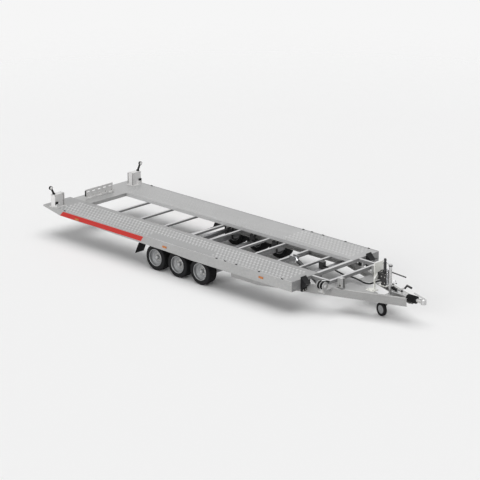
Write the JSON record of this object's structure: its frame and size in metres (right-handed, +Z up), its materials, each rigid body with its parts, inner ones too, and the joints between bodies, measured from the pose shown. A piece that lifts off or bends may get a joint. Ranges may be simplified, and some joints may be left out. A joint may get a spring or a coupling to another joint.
{
  "type": "car transporter trailer",
  "caption": "Low tilting car transporter trailer with two anti-slip runways, open ladder platform, six small wheels on three axles, V drawbar, overrun coupling, hand pump and jockey wheel.",
  "frame": {"origin": "on the floor, in the middle of the overall length and width", "axes": "+X forwards to the coupling, +Y to the left side, +Z up"},
  "size_m": [7.87, 2.2436, 0.9572],
  "materials": {
    "galvanised": "galvanised, satin",
    "chrome": "polished",
    "silver": "silver paint",
    "tyre": "matt",
    "rubber": "matt",
    "black_plastic": "matt",
    "black_paint": "satin",
    "amber": "gloss",
    "gloss_white": "gloss",
    "red": "reflective film"
  },
  "bodies": {
    "chassis": {"chassis_beam_left": "galvanised", "chassis_beam_right": "galvanised", "chassis_cross_members": "galvanised", "chassis_outriggers": "galvanised", "tilt_shaft": "galvanised", "tongue_gussets": "galvanised", "rest_blocks": "rubber", "axles": "galvanised", "axle_brackets": "black_paint", "mudguards": "black_plastic", "oil_valve": "black_paint", "overrun_housing": "galvanised", "coupler_head": "galvanised", "gaiter": "rubber", "handbrake_lever": "galvanised", "jockey_tube": "galvanised", "jockey_clamp": "galvanised", "pump_tower": "galvanised", "hand_pump": "black_paint", "pump_hose": "rubber", "beam_drum": "galvanised", "nose_catches": "galvanised"},
    "bed": {"side_panel_left": "galvanised", "side_panel_right": "galvanised", "runway_left": "galvanised", "runway_right": "galvanised", "cross_beams": "galvanised", "front_beam": "galvanised", "nose_frame": "galvanised", "rear_deck": "galvanised", "plate_bracket": "galvanised", "plate_lamps": "gloss_white", "lamp_housings": "galvanised", "lamp_arms": "rubber", "wheel_chocks": "black_plastic", "bed_hinge_lugs": "galvanised", "side_markers": "amber", "side_stripes": "red"},
    "tilt_cylinder": {"cylinder_barrel": "black_paint"},
    "cylinder_rod": {"cylinder_rod": "chrome"},
    "jockey_leg": {"jockey_stem": "chrome"},
    "jockey_fork": {"jockey_fork": "galvanised"},
    "jockey_wheel": {"jockey_rim": "silver", "jockey_tyre": "tyre"},
    "wheel_left_front": {"tyre_left_front": "tyre", "rim_left_front": "silver"},
    "wheel_left_middle": {"tyre_left_middle": "tyre", "rim_left_middle": "silver"},
    "wheel_left_rear": {"tyre_left_rear": "tyre", "rim_left_rear": "silver"},
    "wheel_right_front": {"tyre_right_front": "tyre", "rim_right_front": "silver"},
    "wheel_right_middle": {"tyre_right_middle": "tyre", "rim_right_middle": "silver"},
    "wheel_right_rear": {"tyre_right_rear": "tyre", "rim_right_rear": "silver"}
  },
  "joints": [
    {"name": "bed_tilt", "type": "hinge", "parent": "chassis", "child": "bed", "pos_m": [-1.155, 0, 0.4], "axis": [0, -1, 0], "range_deg": [0, 11]},
    {"name": "cylinder_swing", "type": "hinge", "parent": "chassis", "child": "tilt_cylinder", "pos_m": [1.705, 0, 0.16], "axis": [0, 1, 0], "range_deg": [0, 22.5]},
    {"name": "rod_slide", "type": "slide", "parent": "tilt_cylinder", "child": "cylinder_rod", "axis": [-0.8533, 0, 0.5214], "range_m": [0, 0.332]},
    {"name": "jockey_height", "type": "slide", "parent": "chassis", "child": "jockey_leg", "axis": [0, 0, 1], "range_m": [-0.1, 0.05]},
    {"name": "jockey_swivel", "type": "hinge", "parent": "jockey_leg", "child": "jockey_fork", "pos_m": [3.205, 0, 0.2], "axis": [0, 0, 1], "continuous": true},
    {"name": "jockey_roll", "type": "hinge", "parent": "jockey_fork", "child": "jockey_wheel", "pos_m": [3.10113, -0.07504, 0.109], "axis": [0.2079, 0.9781, 0], "continuous": true},
    {"name": "roll_left_front", "type": "hinge", "parent": "chassis", "child": "wheel_left_front", "pos_m": [-0.032, 0.9505, 0.2245], "axis": [0, 1, 0], "continuous": true},
    {"name": "roll_left_middle", "type": "hinge", "parent": "chassis", "child": "wheel_left_middle", "pos_m": [-0.564, 0.9505, 0.2245], "axis": [0, 1, 0], "continuous": true},
    {"name": "roll_left_rear", "type": "hinge", "parent": "chassis", "child": "wheel_left_rear", "pos_m": [-1.096, 0.9505, 0.2245], "axis": [0, 1, 0], "continuous": true},
    {"name": "roll_right_front", "type": "hinge", "parent": "chassis", "child": "wheel_right_front", "pos_m": [-0.032, -0.9505, 0.2245], "axis": [0, 1, 0], "continuous": true},
    {"name": "roll_right_middle", "type": "hinge", "parent": "chassis", "child": "wheel_right_middle", "pos_m": [-0.564, -0.9505, 0.2245], "axis": [0, 1, 0], "continuous": true},
    {"name": "roll_right_rear", "type": "hinge", "parent": "chassis", "child": "wheel_right_rear", "pos_m": [-1.096, -0.9505, 0.2245], "axis": [0, 1, 0], "continuous": true}
  ],
  "couplings": [
    {"joint": "cylinder_swing", "follows": "bed_tilt", "ratio": 2.0263},
    {"joint": "rod_slide", "follows": "bed_tilt", "m_per_rad": 1.7078}
  ]
}
